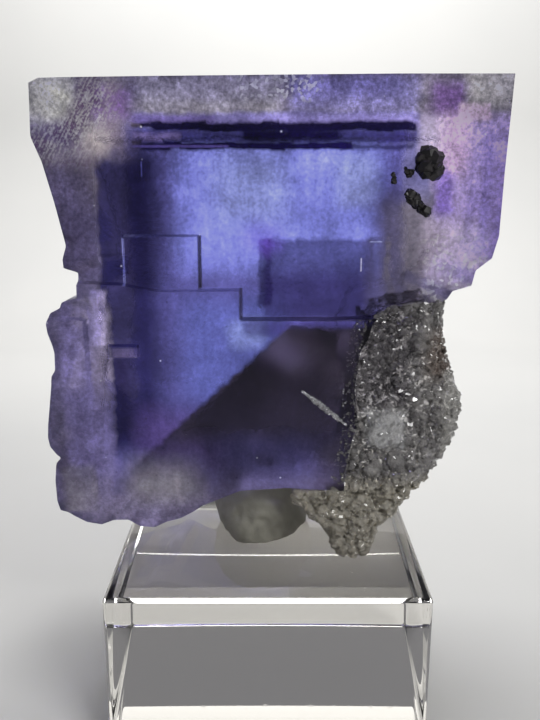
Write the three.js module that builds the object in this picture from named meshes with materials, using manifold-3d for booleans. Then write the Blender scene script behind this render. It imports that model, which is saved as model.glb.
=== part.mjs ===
// A cube of fluorite with a crust of small quartz crystals, held by mineral tack on a clear block.
// Millimetres, +Z up. The origin is the middle of the block's underside, and the crystal's front
// cube face looks along -Y.

import * as THREE from "three";
import { MeshSurfaceSampler } from "three/addons/math/MeshSurfaceSampler.js";
import { mergeVertices } from "three/addons/utils/BufferGeometryUtils.js";
import Module from "manifold-3d";

// The display block
const BLOCK = { width: 30, depth: 30, height: 15, chamfer: 0.4 };

// Room left between two pieces that meet
const GAP = 0.3;

// The crystal's front and back cube faces, along Y
const FRONT = -8;
const BACK = 16;

// The crystal's outline on its front face, as x, z points, clockwise from the upper left corner
const TOP_EDGE = [[-20.55, 59.85], [-19.7, 60.25], [0.2, 60.5], [21.2, 60.6]];
const RIGHT_EDGE = [
  [20.9, 52.6], [20.8, 46.8], [20.3, 44.8], [18.9, 43.7], [18.6, 42.3], [16.9, 41.8], [16.4, 41],
];
const CONTACT = [
  [13.5, 40.3], [10.7, 39.8], [9.4, 38.4], [8.5, 36.3], [8.1, 32.5], [8.5, 29.2], [7.6, 25.7], [7.3, 22.5],
];
const LOWER_EDGE = [
  [1.6, 22.8], [-2.7, 22.5], [-6.3, 21], [-8.5, 19.65], [-9.8, 19.3], [-11, 18.7], [-12.45, 18.8],
  [-13.6, 19.5], [-15.05, 19.45], [-16.2, 19], [-18.8, 19.9],
];
const LEFT_EDGE = [[-17.3, 41.3], [-17.25, 43.5], [-18.2, 45.9], [-19, 49.7], [-20.7, 55.4]];

// Growth steps of the front face: the upper field lies deepest, the small tablet halfway
const STEP = 0.45;
const STEP_LINE = [
  [-17.4, 42.7], [-13.1, 42.5], [-9.7, 41.9], [-2.5, 42], [-2.45, 39.3], [5.7, 39.3], [12, 39.6],
];
const TABLET = { left: -13, right: -6.15, low: 41, high: 46.85 };
const NUB = { left: -14.7, right: -11.9, low: 35.9, high: 36.95 };

// Growth steps of the back face, as rectangles in x, z with their depth
const BACK_STEPS = [
  { left: -0.7, right: 13.2, low: 36.2, high: 44.9, depth: 0.4 },
  { left: -30, right: 30, low: 55.6, high: 70, depth: 0.6 },
];

// Growth steps of the top face, as rectangles in x, y with their depth
const TOP_STEPS = [
  { left: -30, right: -6, near: 3, far: 30, depth: 0.5 },
  { left: 9, right: 30, near: 8, far: 30, depth: 0.7 },
];

// Blocky overgrowth of the left margin. The front column is set block by block in x and z, with its
// front face along Y, and the mosaic of smaller blocks behind it is worked out.
const LEFT_INSIDE = -15.5;
const LEFT_COLUMN = [
  { left: -20.3, low: 20.5, high: 25.5, near: -8.4 },
  { left: -20.8, low: 26.1, high: 33.4, near: -8.25 },
  { left: -20.2, low: 33.4, high: 39.4, near: -8.4 },
  { left: -18.8, low: 39.2, high: 40.9, near: -8.2 },
  { left: -18.5, low: 43.2, high: 45.9, near: -7.5 },
];
const COLUMN_DEPTH = 4.5;
const MOSAIC = { near: -4.5, far: 10, low: 21.5, high: 50, row: 4.2, file: 3.8, left: -18.1, rise: 2 };
const MOSAIC_SHIFT = 0.8;

// Growth steps of the right face, as rectangles in y, z with their depth
const RIGHT_STEPS = [
  { near: 2, far: 30, low: 48, high: 55.5, depth: 0.5 },
  { near: 9, far: 30, low: 40, high: 51, depth: 0.9 },
];

// Octahedral cleavage: outward signs of the plane's normal, its offset along x, y, z summed with them, and
// the height that it stays below. The first takes the lower back corner off, and the other chips the lower
// left corner of the back face.
const CLEAVAGES = [
  { signs: [1, 1, -1], offset: -16.9, below: 35.5 },
  { signs: [-1, 1, -1], offset: 5, below: 80 },
];

// The crystal narrows evenly towards its back: the middle of its outline in x, z, and the share of its
// width that the back keeps
const TAPER = { middle: [0, 40.5], back: 0.888 };

// Scalloped breaks of the underside: middle and radius of each hollow
const SCALLOPS = [
  { at: [-15.5, -2, 17.2], radius: 3.6 },
  { at: [-9.5, 4, 17.6], radius: 4.2 },
  { at: [-15, 9, 19.6], radius: 4.4 },
  { at: [-3.5, 10, 20.4], radius: 3.8 },
];

// The quartz crust's outer edge on the front, x and z from the top down, the size of its core and
// crystals, and the planes that round its core off: a point on each and its outward normal
const CRUST_EDGE = [
  [16, 40.2], [15.9, 38.8], [16.6, 36.2], [17.3, 34], [18.3, 31.5], [18.3, 29], [17.4, 26.5], [15.2, 23.5],
  [13.4, 21.6], [11.2, 19.3], [10.3, 17.2],
];
const CRUST_FOOT = [[2.9, 21.8], [5.4, 19], [6.8, 16.9]];
const CRUST = { front: -7.9, back: 7, inset: 1.1, crystals: 118, tries: 10 };
const CRUST_ROOM = { left: 4.6, right: 16.3, floor: 15.7, roof: 40.7, lobe: 2.4, shelf: 22, tack: -6 };
const CRUST_CRYSTAL = { least: 0.8, most: 1.85, stretch: 1.25, point: 0.9, root: 0.4, lean: 0.6 };
const CRUST_CUTS = [
  { point: [12, 6.5, 30], normal: [0.35, 1, -0.75] },
  { point: [15.2, 3, 33], normal: [1, 0.75, 0.1] },
  { point: [13, 3, 38], normal: [0.2, 1, 0.7] },
  { point: [15.5, -6.6, 33], normal: [1, -1, 0] },
];

// Ore grains in the front face: middle in x, z, half sizes and tilt about Y
const GRAINS = [
  { name: "dark_grain_large", at: [14.1, 53.2], half: [1.3, 0.9, 1.5], tilt: -0.2 },
  { name: "dark_grain_lower", at: [13.35, 49.7], half: [0.75, 0.7, 1.5], tilt: -0.78 },
  { name: "dark_grain_side", at: [12.2, 52.4], half: [0.4, 0.45, 0.6], tilt: -1.1 },
  { name: "dark_grain_tiny", at: [11.15, 51.8], half: [0.35, 0.4, 0.5], tilt: 0.1 },
];
const GRAIN_DEPTH = FRONT + 2 * STEP + 0.1;

// The lump of mineral tack: middle, half sizes and the height of its pinched lumps
const TACK = { middle: [-0.8, 0.8, 18.6], half: [5.4, 6, 6.2], lump: 0.35, right: 4.3 };

// Longer than anything here, for cutting bodies
const FAR = 120;

const wasm = await Module();
wasm.setup();

// Repeatable numbers from 0 to 1
let seed = 11;
function random() {
  seed = (seed * 16807) % 2147483647;
  return seed / 2147483647;
}

function between(low, high) {
  return low + (high - low) * random();
}

// A closed geometry as a solid that can be joined and cut
function solid(geometry) {
  const bare = new THREE.BufferGeometry();
  bare.setAttribute("position", geometry.getAttribute("position"));
  bare.setIndex(geometry.getIndex());
  const merged = mergeVertices(bare, 1e-4);
  const index = merged.getIndex().array;
  const triangles = [];
  for (let i = 0; i < index.length; i += 3) {
    const [a, b, c] = [index[i], index[i + 1], index[i + 2]];
    if (a !== b && b !== c && c !== a) triangles.push(a, b, c);
  }
  const vertProperties = new Float32Array(merged.getAttribute("position").array);
  const mesh = new wasm.Mesh({ numProp: 3, vertProperties, triVerts: new Uint32Array(triangles) });
  return new wasm.Manifold(mesh);
}

// A solid as a flat-shaded geometry
function geometryOf(body) {
  const mesh = body.getMesh();
  const geometry = new THREE.BufferGeometry();
  geometry.setAttribute("position", new THREE.BufferAttribute(mesh.vertProperties, 3));
  geometry.setIndex(new THREE.BufferAttribute(mesh.triVerts, 1));
  geometry.computeVertexNormals();
  return geometry;
}

function joined(bodies) {
  return bodies.reduce((whole, body) => whole.add(body));
}

// The largest shell of a body, without loose crumbs or sealed bubbles
function largest(body) {
  const shells = body.decompose();
  return shells.reduce((best, shell) => (shell.volume() > best.volume() ? shell : best));
}

// An x, z outline carried from one place on Y to another
function extruded(points, near, far) {
  const shape = new THREE.Shape(points.map(([x, z]) => new THREE.Vector2(x, z)));
  const geometry = new THREE.ExtrudeGeometry(shape, { depth: far - near, bevelEnabled: false });
  geometry.rotateX(Math.PI / 2);
  geometry.translate(0, far, 0);
  return geometry;
}

function slab(points, near, far) {
  return solid(extruded(points, near, far));
}

// The crystal's outline carried from its front to its narrower back
function taperedSlab(points) {
  const geometry = extruded(points, FRONT, BACK);
  const position = geometry.getAttribute("position");
  for (let i = 0; i < position.count; i += 1) {
    const scale = narrowing(position.getY(i));
    const [x, z] = [position.getX(i) - TAPER.middle[0], position.getZ(i) - TAPER.middle[1]];
    position.setX(i, TAPER.middle[0] + x * scale);
    position.setZ(i, TAPER.middle[1] + z * scale);
  }
  return solid(geometry);
}

// The share of the front's width that the crystal has at a place on Y
function narrowing(y) {
  return 1 - (1 - TAPER.back) * (y - FRONT) / (BACK - FRONT);
}

// A box between two corners
function box(low, high) {
  const size = high.map((value, i) => value - low[i]);
  const geometry = new THREE.BoxGeometry(...size);
  geometry.translate(...low.map((value, i) => value + size[i] / 2));
  return solid(geometry);
}

// Everything on the outer side of a plane
function beyond(point, normal) {
  const outward = new THREE.Vector3(...normal).normalize();
  const geometry = new THREE.BoxGeometry(FAR, FAR, FAR);
  geometry.translate(0, 0, FAR / 2);
  const turn = new THREE.Quaternion().setFromUnitVectors(new THREE.Vector3(0, 0, 1), outward);
  geometry.applyQuaternion(turn);
  geometry.translate(...point);
  return solid(geometry);
}

// The body shifted by the gap along each axis, all joined: the room that a neighbour keeps clear of
function withGap(body) {
  const shifts = [[GAP, 0, 0], [-GAP, 0, 0], [0, GAP, 0], [0, -GAP, 0], [0, 0, -GAP]];
  return joined(shifts.map((shift) => body.translate(shift)));
}

// A grain of ore: two interlocked blocky crystals of about unit size, swollen by a margin
function grainBody(grain, margin) {
  const pointed = new THREE.OctahedronGeometry(1.25);
  const rounded = new THREE.DodecahedronGeometry(0.95);
  const blocks = [
    { geometry: pointed, turn: [0.4, 0.3, 0.2], shift: [0.1, 0, 0.12] },
    { geometry: rounded, turn: [0.2, 0.7, 0.5], shift: [-0.12, 0, -0.15] },
  ];
  const bodies = blocks.map(({ geometry, turn, shift }) => {
    geometry.rotateX(turn[0]).rotateY(turn[1]).rotateZ(turn[2]);
    geometry.translate(...shift);
    geometry.scale(...grain.half.map((half) => half + margin));
    geometry.rotateY(grain.tilt);
    geometry.translate(grain.at[0], GRAIN_DEPTH, grain.at[1]);
    return solid(geometry);
  });
  return joined(bodies);
}

// Small parallel crystals stacked on the left side, each standing out by its own amount
function mosaicBlocks() {
  const { near, far, low, high, row, file, left, rise } = MOSAIC;
  const blocks = [];
  for (let z = low; z < high; z += row) {
    for (let y = near; y < far; y += file) {
      const bottom = z + between(-MOSAIC_SHIFT, MOSAIC_SHIFT);
      const start = y + between(-MOSAIC_SHIFT, MOSAIC_SHIFT);
      const face = left - rise * random();
      const end = [LEFT_INSIDE, start + file * between(0.8, 1.3), bottom + row * between(0.7, 1.2)];
      blocks.push(box([face, start, bottom], end));
    }
  }
  return blocks;
}

// The fluorite crystal: an extruded cube outline, stepped, cleaved, broken below and overgrown at its left
function fluoriteBody() {
  const outline = [...TOP_EDGE, ...RIGHT_EDGE, ...CONTACT, ...LOWER_EDGE, ...LEFT_EDGE];
  let body = taperedSlab(outline);
  LEFT_COLUMN.forEach(({ left, low, high, near }) => {
    body = body.add(box([left, near, low], [LEFT_INSIDE, near + COLUMN_DEPTH, high]));
  });
  mosaicBlocks().forEach((block) => {
    body = body.add(block);
  });

  const [stepStart, stepEnd] = [STEP_LINE[0][1], STEP_LINE[STEP_LINE.length - 1][1]];
  const upperField = [...STEP_LINE, [FAR, stepEnd], [FAR, FAR], [-FAR, FAR], [-FAR, stepStart]];
  const tablet = box([TABLET.left, -FAR, TABLET.low], [TABLET.right, FAR, TABLET.high]);
  body = body.subtract(slab(upperField, FRONT - 1, FRONT + STEP));
  body = body.subtract(slab(upperField, FRONT - 1, FRONT + 2 * STEP).subtract(tablet));
  body = body.add(box([NUB.left, FRONT - STEP, NUB.low], [NUB.right, FRONT + 1, NUB.high]));

  BACK_STEPS.forEach(({ left, right, low, high, depth }) => {
    body = body.subtract(box([left, BACK - depth, low], [right, BACK + 1, high]));
  });
  const [edgeX, edgeZ] = TOP_EDGE[TOP_EDGE.length - 1];
  TOP_STEPS.forEach(({ left, right, near, far, depth }) => {
    const top = TAPER.middle[1] + (edgeZ - TAPER.middle[1]) * narrowing(near);
    body = body.subtract(box([left, near, top - depth], [right, far, edgeZ + 1]));
  });
  RIGHT_STEPS.forEach(({ near, far, low, high, depth }) => {
    const side = edgeX * narrowing(near);
    body = body.subtract(box([side - depth, near, low], [edgeX + 1, far, high]));
  });
  CLEAVAGES.forEach(({ signs, offset, below }) => {
    const point = signs.map((sign) => sign * offset / 3);
    const lower = box([-FAR, -FAR, -FAR], [FAR, FAR, below]);
    body = body.subtract(beyond(point, signs).intersect(lower));
  });
  SCALLOPS.forEach(({ at, radius }) => {
    const hollow = new THREE.IcosahedronGeometry(radius, 1);
    hollow.translate(...at);
    body = body.subtract(solid(hollow));
  });
  GRAINS.forEach((grain) => {
    body = body.subtract(grainBody(grain, GAP));
  });
  return largest(body);
}

// One quartz crystal: a six-sided prism with a pointed end, from its root along an axis
function quartzCrystal(root, axis, radius, length) {
  const foot = -CRUST_CRYSTAL.root * length;
  const shoulder = length - CRUST_CRYSTAL.point * radius;
  const profile = [[0, foot], [radius, foot], [radius, shoulder], [0, length]];
  const geometry = new THREE.LatheGeometry(profile.map(([r, h]) => new THREE.Vector2(r, h)), 6);
  geometry.rotateY(between(0, Math.PI / 3));
  const turn = new THREE.Quaternion();
  turn.setFromUnitVectors(new THREE.Vector3(0, 1, 0), axis.clone().normalize());
  geometry.applyQuaternion(turn);
  geometry.translate(root.x, root.y, root.z);
  return solid(geometry);
}

// Places for crystals on a core's free sides. Each is the one of a few tries that lies farthest from
// the others, which spreads them evenly.
function crystalSites(core) {
  const sampler = new MeshSurfaceSampler(new THREE.Mesh(geometryOf(core)));
  sampler.setRandomGenerator(random).build();
  const contactSide = new THREE.Vector3(-0.8, 0, 0.6);
  const facing = 0.7;
  const sites = [];
  while (sites.length < CRUST.crystals) {
    let best = { room: -1 };
    for (let tries = 0; tries < CRUST.tries; tries += 1) {
      const [root, axis] = [new THREE.Vector3(), new THREE.Vector3()];
      sampler.sample(root, axis);
      const room = Math.min(FAR, ...sites.map((site) => site.root.distanceTo(root)));
      if (axis.dot(contactSide) < facing && room > best.room) best = { root, axis, room };
    }
    if (best.root) sites.push(best);
  }
  return sites;
}

// The quartz crust: a low rounded core with crystals standing out all over it
function crustBody() {
  const inner = [...CONTACT, ...CRUST_FOOT];
  const edge = [...CRUST_EDGE].reverse().map(([x, z]) => [x - CRUST.inset, z]);
  let core = slab([...inner, ...edge], CRUST.front, CRUST.back);
  CRUST_CUTS.forEach(({ point, normal }) => {
    core = core.subtract(beyond(point, normal));
  });

  const bodies = [core];
  crystalSites(core).forEach(({ root, axis }) => {
    const { least, most, stretch, lean } = CRUST_CRYSTAL;
    const radius = between(least, most);
    axis.add(new THREE.Vector3(between(-lean, lean), between(-lean, lean), between(-lean, lean)));
    bodies.push(quartzCrystal(root, axis, radius, radius * stretch));
  });

  const rim = CONTACT.map(([x, z]) => [x + GAP, z - GAP / 2]);
  const { left, right, floor, roof, lobe, shelf, tack } = CRUST_ROOM;
  const room = [[right, roof], ...rim, [lobe, shelf], [left, floor], [FAR, floor], [FAR, roof]];
  const beside = slab(room, -FAR, FAR).subtract(box([-FAR, tack, -FAR], [left, FAR, FAR]));
  return largest(joined(bodies).intersect(beside));
}

// The tack: a pinched ball, flat on the block, pressed up against the crystal
function tackBody(fluorite) {
  const ball = new THREE.IcosahedronGeometry(1, 5);
  const position = ball.getAttribute("position");
  const point = new THREE.Vector3();
  for (let i = 0; i < position.count; i += 1) {
    point.fromBufferAttribute(position, i);
    const lump = Math.sin(4 * point.x + 1) * Math.sin(5 * point.z) + Math.sin(3 * point.y + 2 * point.z);
    const swell = 1 + TACK.lump / TACK.half[0] * lump;
    position.setXYZ(
      i,
      TACK.middle[0] + TACK.half[0] * swell * point.x,
      TACK.middle[1] + TACK.half[1] * swell * point.y,
      TACK.middle[2] + TACK.half[2] * swell * point.z,
    );
  }
  const above = box([-FAR, -FAR, BLOCK.height], [TACK.right, FAR, FAR]);
  const cut = solid(ball).intersect(above).subtract(withGap(fluorite));
  return largest(cut);
}

// The clear block, with its edges lightly broken
function blockBody() {
  const { width, depth, height, chamfer } = BLOCK;
  const [w, d] = [width / 2 - chamfer, depth / 2 - chamfer];
  const corners = [[-w, -d], [w, -d], [w, d], [-w, d]];
  const shape = new THREE.Shape(corners.map(([x, y]) => new THREE.Vector2(x, y)));
  const geometry = new THREE.ExtrudeGeometry(shape, {
    depth: height - 2 * chamfer,
    bevelEnabled: true,
    bevelThickness: chamfer,
    bevelSize: chamfer,
    bevelSegments: 1,
  });
  geometry.translate(0, 0, chamfer);
  return solid(geometry);
}

const FLUORITE = { color: 0x5a55a0, roughness: 0.12, metalness: 0 };
const QUARTZ = { color: 0xb4b0a8, roughness: 0.2, metalness: 0 };
const ORE = { color: 0x1c1a20, roughness: 0.35, metalness: 0.2 };
const PUTTY = { color: 0x5c5a50, roughness: 0.7, metalness: 0 };
const ACRYLIC = { color: 0xdedcd2, roughness: 0.05, metalness: 0 };

const specimen = new THREE.Group();

function addPiece(name, body, finish) {
  const mesh = new THREE.Mesh(geometryOf(body), new THREE.MeshStandardMaterial(finish));
  mesh.name = name;
  specimen.add(mesh);
}

const fluorite = fluoriteBody();
addPiece("fluorite_crystal", fluorite, FLUORITE);
addPiece("quartz_crust", crustBody(), QUARTZ);
GRAINS.forEach((grain) => addPiece(grain.name, grainBody(grain, 0), ORE));
addPiece("mineral_tack", tackBody(fluorite), PUTTY);
addPiece("acrylic_block", blockBody(), ACRYLIC);

export default specimen;
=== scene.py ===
# %% [markdown]
# # A fluorite cube on a clear block
# This lesson dresses a small mineral specimen: one zoned fluorite crystal, a crust of quartz, a few
# grains of dark ore, a lump of mineral tack and the clear block that carries them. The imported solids
# give every piece its place and size, and Blender adds the fine shapes and the finishes.

# %% Load the frame
import math

import bmesh
import bpy
import numpy as np
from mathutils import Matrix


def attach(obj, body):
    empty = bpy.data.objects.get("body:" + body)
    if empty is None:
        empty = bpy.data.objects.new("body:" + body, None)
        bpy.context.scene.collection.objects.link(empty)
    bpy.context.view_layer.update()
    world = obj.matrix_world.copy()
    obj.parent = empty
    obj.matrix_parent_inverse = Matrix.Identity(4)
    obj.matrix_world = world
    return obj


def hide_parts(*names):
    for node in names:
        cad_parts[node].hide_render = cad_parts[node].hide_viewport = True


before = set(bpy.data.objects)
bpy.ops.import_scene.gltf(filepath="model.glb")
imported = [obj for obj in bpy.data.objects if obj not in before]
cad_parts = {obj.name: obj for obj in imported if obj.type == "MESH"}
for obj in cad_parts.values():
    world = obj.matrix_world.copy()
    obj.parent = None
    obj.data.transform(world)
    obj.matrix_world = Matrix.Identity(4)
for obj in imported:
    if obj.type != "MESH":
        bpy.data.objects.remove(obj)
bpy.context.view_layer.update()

# %% [markdown]
# ## Units and small helpers
# Shapes are written in millimetres, because that is how a specimen is measured, and are turned into
# metres when they become a mesh. A surface is a grid of points, so one function can number the quads
# of any grid, and one more can turn points and quads into a finished piece.

# %% Units and small helpers
MM = 0.001


def linear(red, green, blue):
    """A colour of 0 to 255 screen values, as the linear values that shaders use."""
    share = np.array([red, green, blue]) / 255
    low, high = share / 12.92, ((share + 0.055) / 1.055) ** 2.4
    return (*np.where(share <= 0.04045, low, high).tolist(), 1.0)


def smooth(t):
    """0 below 0, 1 above 1, and the cubic 3t^2 - 2t^3 between."""
    t = np.clip(t, 0, 1)
    return t * t * (3 - 2 * t)


def inside(value, low, high, soft):
    """1 between low and high, falling smoothly to 0 over a width of soft centred on each limit."""
    return smooth((value - low) / soft + 0.5) * smooth((high - value) / soft + 0.5)


def chance(i, j, seed):
    """A repeatable number from 0 to 1 for each whole-number pair: the fraction of a large sine."""
    return np.mod(np.sin(i * 127.1 + j * 311.7 + seed * 74.7) * 43758.5453, 1)


def cloud(a, b, seed):
    """Soft noise from 0 to 1: chance at the four nearest grid points, blended smoothly."""
    i, j = np.floor(a), np.floor(b)
    f, g = smooth(a - i), smooth(b - j)
    near = chance(i, j, seed) * (1 - f) + chance(i + 1, j, seed) * f
    far = chance(i, j + 1, seed) * (1 - f) + chance(i + 1, j + 1, seed) * f
    return near * (1 - g) + far * g


def grid_quads(rows, columns, start=0):
    """The quads of a grid of points numbered row by row from start."""
    i = np.arange(rows * columns).reshape(rows, columns) + start
    corners = [i[:-1, :-1], i[1:, :-1], i[1:, 1:], i[:-1, 1:]]
    return np.stack(corners, axis=-1).reshape(-1, 4)


def make_piece(name, points, quads, sharp_degrees):
    """A mesh object from points in millimetres and quads, welded, facing outwards, with crisp edges."""
    mesh = bpy.data.meshes.new(name)
    mesh.from_pydata((points * MM).tolist(), [], quads.tolist())
    work = bmesh.new()
    work.from_mesh(mesh)
    bmesh.ops.remove_doubles(work, verts=work.verts, dist=2e-7)
    bmesh.ops.dissolve_degenerate(work, edges=work.edges, dist=1e-7)
    bmesh.ops.recalc_face_normals(work, faces=work.faces)
    work.to_mesh(mesh)
    work.free()
    mesh.polygons.foreach_set("use_smooth", np.ones(len(mesh.polygons), dtype=bool))
    mesh.set_sharp_from_angle(angle=math.radians(sharp_degrees))
    piece = bpy.data.objects.new(name, mesh)
    bpy.context.scene.collection.objects.link(piece)
    print(name, len(mesh.vertices), "vertices", len(mesh.polygons), "faces")
    return piece


print("millimetres to a metre", round(1 / MM))

# %% [markdown]
# ## Camera
# The block's receding edges give the viewing height and the focal length in pixels: the lens sits
# a little below the top of the crystal, close to it, and looks down by about fourteen degrees.

# %% Camera
PHOTO_HEIGHT = 720
FOCAL_PIXELS = 782
LOOK_DOWN = 14.2
CAMERA_PLACE = (0.2, -78.0, 53.24)

camera = bpy.data.objects.new("camera", bpy.data.cameras.new("camera"))
camera.data.sensor_width = 36
camera.data.lens = FOCAL_PIXELS / PHOTO_HEIGHT * camera.data.sensor_width
camera.data.clip_start = 0.004
camera.location = np.array(CAMERA_PLACE) * MM
camera.rotation_euler = (math.radians(90 - LOOK_DOWN), 0, 0)
bpy.context.scene.collection.objects.link(camera)
bpy.context.scene.camera = camera
print("lens", round(camera.data.lens, 1), "mm")

# %% [markdown]
# ## Floor and light
# A clear crystal shows what lies behind it, so the floor runs up into a pale backdrop, and a soft
# light makes a bright pool there. The rest of the room is dimmer: faces that mirror it turn dark,
# and that is what draws the edges of a clear thing.

# %% Floor and light
SWEEP_BACK = 150
SWEEP_BEND = 70
SWEEP_TOP = 125
SWEEP_FRONT = -420
SWEEP_HALF = 480
AIR_GAP = 0.03


def sweep_points(count=24):
    """A straight floor, a quarter circle and a straight wall, carried along X."""
    turn = np.linspace(0, math.pi / 2, count)
    y = np.r_[SWEEP_FRONT, SWEEP_BACK + SWEEP_BEND * np.sin(turn), SWEEP_BACK + SWEEP_BEND]
    z = np.r_[0, SWEEP_BEND * (1 - np.cos(turn)), SWEEP_TOP] - AIR_GAP
    x = np.array([-SWEEP_HALF, SWEEP_HALF])
    grid_x, grid_y = np.meshgrid(x, y, indexing="ij")
    return np.stack([grid_x, grid_y, np.broadcast_to(z, grid_x.shape)], axis=-1)


sweep = sweep_points()
floor = make_piece("floor", sweep.reshape(-1, 3), grid_quads(*sweep.shape[:2]), 60)


def soft_light(name, place, aim, size, watts, colour=(1, 1, 1)):
    """A square area light at a place, turned to a point, both in millimetres."""
    lamp = bpy.data.lights.new(name, "AREA")
    lamp.size = size * MM
    lamp.energy = watts
    lamp.color = colour
    light = bpy.data.objects.new(name, lamp)
    light.location = np.array(place) * MM
    way = np.array(aim) - np.array(place)
    yaw, pitch = math.atan2(way[0], -way[1]), math.atan2(math.hypot(way[0], way[1]), -way[2])
    light.rotation_euler = (pitch, 0, yaw + math.pi)
    bpy.context.scene.collection.objects.link(light)
    return light


soft_light("backdrop_pool", (0, 100, 250), (0, 214, 60), 130, 0.85)
soft_light("right_key", (260, -260, 260), (0, 0, 35), 160, 0.8)
soft_light("right_glint", (140, -250, 230), (12, 0, 30), 30, 0.1)

world = bpy.data.worlds.new("room")
world.use_nodes = True
world.node_tree.nodes["Background"].inputs["Color"].default_value = (0.3, 0.3, 0.32, 1)
world.node_tree.nodes["Background"].inputs["Strength"].default_value = 0.7
bpy.context.scene.world = world
bpy.context.scene.view_settings.view_transform = "Standard"

# %% [markdown]
# ## The crystal's outline
# On its front face the cube is bounded by four edges: a straight top, a leaning right side that runs
# into the quartz, a broken lower edge and a left margin of small stacked blocks. Each edge is a short
# list of corners. Filling them is a job for a blended patch: rule between the two pairs of opposite
# edges, add the two surfaces and take away the flat patch through the corners, which was counted twice.

# %% The crystal's outline
FRONT = -8.0
BACK = 16.0
TOP_EDGE = [
    (-20.55, 59.85), (-19.7, 60.25), (-17.8, 60.3), (-10, 60.4), (0.2, 60.5), (11.3, 60.6),
    (21.2, 60.6),
]
RIGHT_EDGE = [
    (7.3, 22.5), (7.6, 25.7), (8.0, 27.7), (8.5, 29.2), (8.1, 32.5), (8.5, 36.3), (9.2, 37.4),
    (9.6, 39.0), (10.7, 39.8), (13.5, 40.3), (16.4, 41.0), (16.9, 41.8), (18.6, 42.3), (18.9, 43.7),
    (20.3, 44.8), (20.8, 46.8), (20.9, 52.6), (21.2, 60.6),
]
LOWER_EDGE = [
    (-18.8, 19.9), (-17.6, 19.25), (-16.2, 19.0), (-15.05, 19.45), (-13.6, 19.5), (-12.45, 18.8),
    (-11, 18.7), (-9.8, 19.3), (-8.5, 19.65), (-7.3, 20.3), (-6.3, 21.0), (-2.7, 22.5), (1.6, 22.8),
    (7.3, 22.5),
]
LEFT_EDGE = [
    (-18.8, 19.9), (-20.0, 20.7), (-20.25, 21.65), (-20.3, 23.7), (-20.1, 25.5), (-19.7, 25.9),
    (-20.6, 27.1), (-20.75, 28), (-20.65, 29.3), (-20.2, 32.4), (-19.95, 34.1), (-19.6, 34.6),
    (-19.55, 36.3), (-19.7, 37), (-20.05, 38.1), (-20.15, 39), (-19.75, 39.95), (-18.85, 40.4),
    (-18.65, 40.95), (-17.3, 41.3), (-17.25, 43.5), (-18.55, 43.9), (-18.6, 44.7), (-18.2, 45.9),
    (-19.0, 49.7), (-19.85, 53.2), (-20.7, 55.4), (-20.55, 59.85),
]
ACROSS = 170
UPWARD = 186
DEEP = 40


def spaced(corners, count):
    """count points spread evenly by length along the line through the corners."""
    corners = np.array(corners, dtype=float)
    length = np.r_[0, np.cumsum(np.hypot(*np.diff(corners, axis=0).T))]
    place = np.linspace(0, length[-1], count)
    return np.c_[np.interp(place, length, corners[:, 0]), np.interp(place, length, corners[:, 1])]


def blended_patch(low, high, left, right):
    """The sum of both ruled surfaces between opposite edges, less the flat patch of the corners."""
    u = np.linspace(0, 1, len(low))[:, None, None]
    v = np.linspace(0, 1, len(left))[None, :, None]
    upward = (1 - v) * low[:, None] + v * high[:, None]
    across = (1 - u) * left[None] + u * right[None]
    flat = (1 - u) * ((1 - v) * low[0] + v * high[0]) + u * ((1 - v) * low[-1] + v * high[-1])
    return upward + across - flat


low_edge, top_edge = spaced(LOWER_EDGE, ACROSS), spaced(TOP_EDGE, ACROSS)
left_edge, right_edge = spaced(LEFT_EDGE, UPWARD), spaced(RIGHT_EDGE, UPWARD)
face = blended_patch(low_edge, top_edge, left_edge, right_edge)
rim = np.concatenate([low_edge[:-1], right_edge[:-1], top_edge[:0:-1], left_edge[:0:-1]])
print("front face", face.shape, "rim", rim.shape)

# %% [markdown]
# ## The crystal's front
# Fluorite grows in steps. On the front the upper field lies deepest, a small tablet halfway, and the
# lower field stands out. Steps are sharp, and a plain grid would saw their edges, so its points are
# first pulled to the foot or the brow of the nearest step.

# %% The crystal's front
STEP = 0.45
STEP_SOFT = 0.16
GRID_REACH = 0.26
# Blocks on the left margin: low and high limit and how far each stands out
LEFT_BLOCKS = [(20.5, 25.5, 0.4), (26.1, 33.4, 0.25), (33.4, 39.4, 0.4), (39.2, 40.9, 0.2)]
TABLET = (-13.0, -6.15, 46.85)
NUB = (-14.6, -11.9, 35.8, 36.95)
NOTCH = -2.47


def stacked(flat, y):
    """Points x, y, z from outline points and their depth."""
    return np.stack([flat[..., 0], y, flat[..., 1]], axis=-1)


def long_step(x):
    """Heights of the long growth step, left and right of its notch."""
    left = np.interp(x, [-17.4, -13.1, -9.7, -2.5], [42.7, 42.5, 41.9, 42.0])
    return left, np.interp(x, [-2.45, 5.7, 12], [39.3, 39.3, 39.6])


def past(value, line):
    """0 before a step's line and 1 beyond it, with a short smooth rise between."""
    return smooth((value - line) / STEP_SOFT + 0.5)


def pulled(value, line, where):
    """Coordinates near a step's line moved to its foot or its brow, so that the grid follows the step."""
    gap = value - line
    near = (np.abs(gap) < GRID_REACH) & where
    return np.where(near, line + np.where(gap < 0, -0.5, 0.5) * STEP_SOFT, value)


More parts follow.
